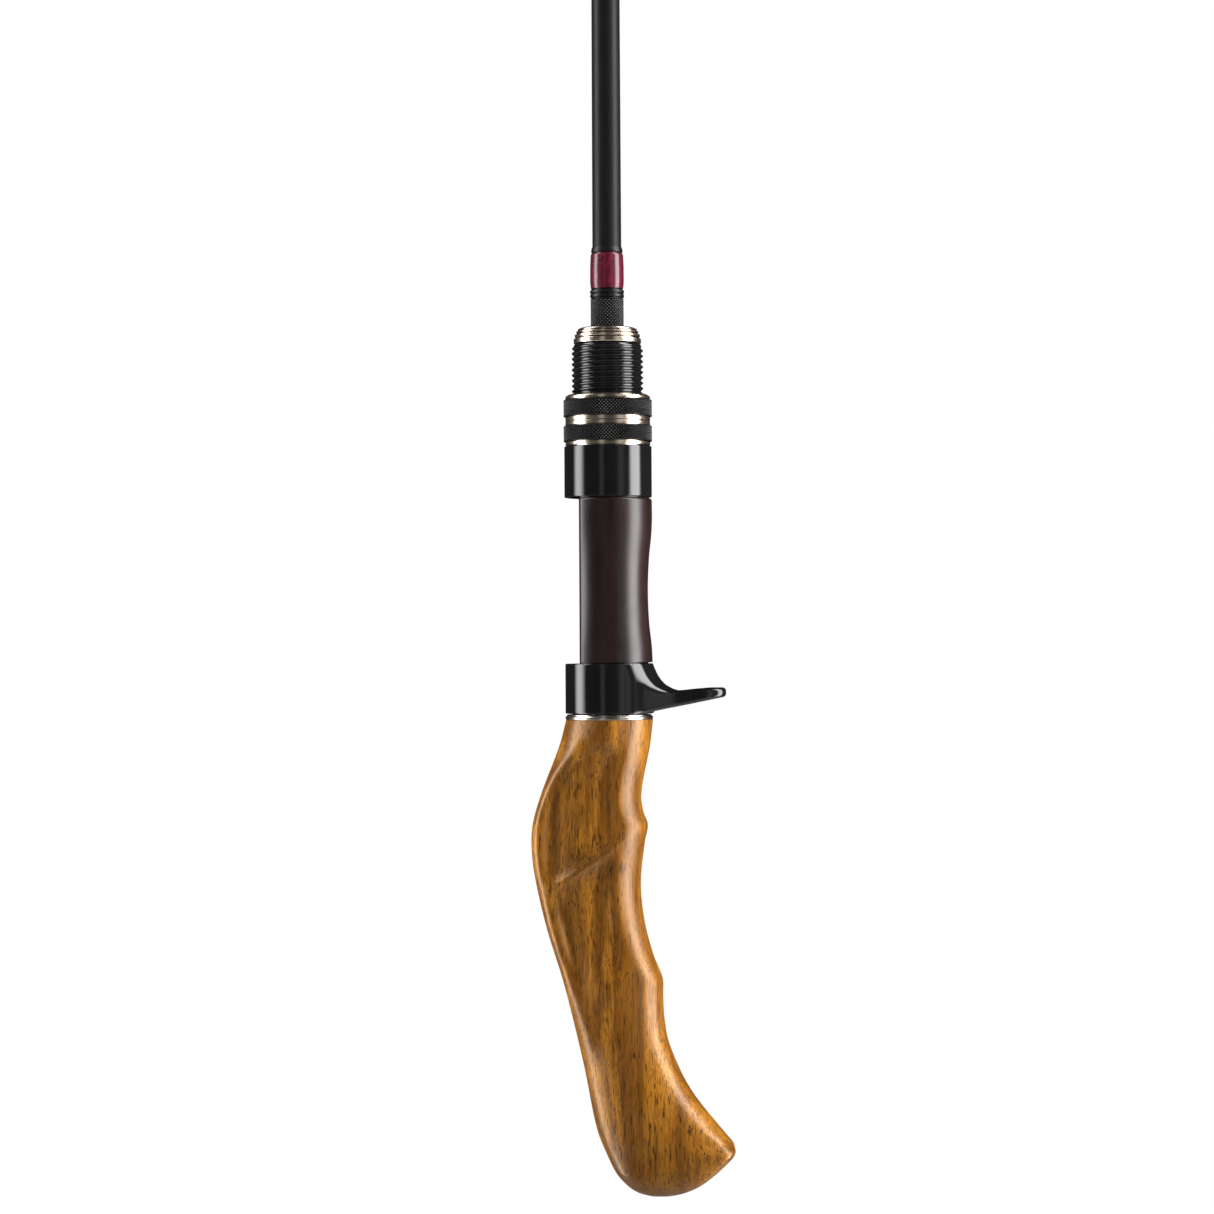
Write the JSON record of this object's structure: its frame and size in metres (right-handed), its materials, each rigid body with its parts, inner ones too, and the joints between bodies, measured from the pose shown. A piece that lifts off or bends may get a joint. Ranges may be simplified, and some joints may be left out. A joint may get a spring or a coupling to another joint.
{
  "type": "fishing rod",
  "caption": "Casting rod with a carved wooden pistol grip, a trigger reel seat with a screw-down hood, a sectional graphite blank, line guides and a tip top.",
  "frame": {"origin": "on the blank's axis, at the plane where the wooden grip meets the seat", "axes": "+Z along the blank towards the tip, +X towards the trigger, -X towards the reel and the line guides"},
  "size_m": [0.0574, 0.0252, 1.803],
  "materials": {
    "lacquered_wood": "golden brown hardwood with dark pores, under gloss lacquer",
    "gloss_black": "black, high gloss",
    "seat_brown": "very dark brown, satin, with a faint wood tint",
    "knurled_black": "black anodised, fine diamond knurl",
    "champagne_metal": "champagne anodised, polished",
    "polished_metal": "polished, slightly warm",
    "red_winding": "crimson thread under clear epoxy",
    "black_winding": "black thread under clear epoxy",
    "blank_graphite": "dark graphite, satin clear coat",
    "guide_frame": "smoked stainless steel",
    "ceramic_ring": "dark polished ceramic",
    "arbor_foam": "rigid foam, unfinished"
  },
  "bodies": {
    "handle": {"blank_1": "blank_graphite", "grip_wood": "lacquered_wood", "grip_ring": "polished_metal", "trigger_hood": "gloss_black", "seat_body": "seat_brown", "seat_arbor_lower": "arbor_foam", "seat_arbor_upper": "arbor_foam", "thread_barrel": "gloss_black", "seat_end_cap": "champagne_metal", "fore_collar": "knurled_black", "bead_ring_lower": "gloss_black", "bead_ring_upper": "gloss_black", "handle_winding": "red_winding", "handle_epoxy_taper": "black_winding", "ferrule_winding_1": "red_winding"},
    "hood": {"movable_hood": "gloss_black"},
    "nut": {"nut_sleeve": "champagne_metal", "nut_knurl_lower": "knurled_black", "nut_knurl_upper": "knurled_black"},
    "second_section": {"blank_2": "blank_graphite", "ferrule_winding_2": "red_winding", "guide_1_frame": "guide_frame", "guide_1_ring": "ceramic_ring", "guide_1_winding_upper": "black_winding", "guide_1_winding_lower": "black_winding", "guide_2_frame": "guide_frame", "guide_2_ring": "ceramic_ring", "guide_2_winding_upper": "black_winding", "guide_2_winding_lower": "black_winding"},
    "third_section": {"blank_3": "blank_graphite", "ferrule_winding_3": "red_winding", "guide_3_frame": "guide_frame", "guide_3_ring": "ceramic_ring", "guide_3_winding_upper": "black_winding", "guide_4_frame": "guide_frame", "guide_4_ring": "ceramic_ring", "guide_4_winding_upper": "black_winding"},
    "tip_section": {"blank_4": "blank_graphite", "tip_top_frame": "guide_frame", "tip_top_ring": "ceramic_ring", "tip_winding": "red_winding", "guide_5_frame": "guide_frame", "guide_5_ring": "ceramic_ring", "guide_5_winding_upper": "black_winding", "guide_6_frame": "guide_frame", "guide_6_ring": "ceramic_ring", "guide_6_winding_upper": "black_winding", "guide_7_frame": "guide_frame", "guide_7_ring": "ceramic_ring", "guide_7_winding_upper": "black_winding"}
  },
  "joints": [
    {"name": "hood_slide", "type": "slide", "parent": "handle", "child": "hood", "axis": [0, 0, 1], "range_m": [0, 0.01386]},
    {"name": "nut_turn", "type": "hinge", "parent": "hood", "child": "nut", "pos_m": [0, 0, 0.0855], "axis": [0, 0, 1], "range_deg": [0, 3240]},
    {"name": "ferrule_1_pull", "type": "slide", "parent": "handle", "child": "second_section", "axis": [0, 0, 1], "range_m": [0, 0.06]},
    {"name": "ferrule_2_pull", "type": "slide", "parent": "second_section", "child": "third_section", "axis": [0, 0, 1], "range_m": [0, 0.06]},
    {"name": "ferrule_3_pull", "type": "slide", "parent": "third_section", "child": "tip_section", "axis": [0, 0, 1], "range_m": [0, 0.06]}
  ],
  "couplings": [
    {"joint": "nut_turn", "follows": "hood_slide", "rad_per_m": 4080}
  ]
}
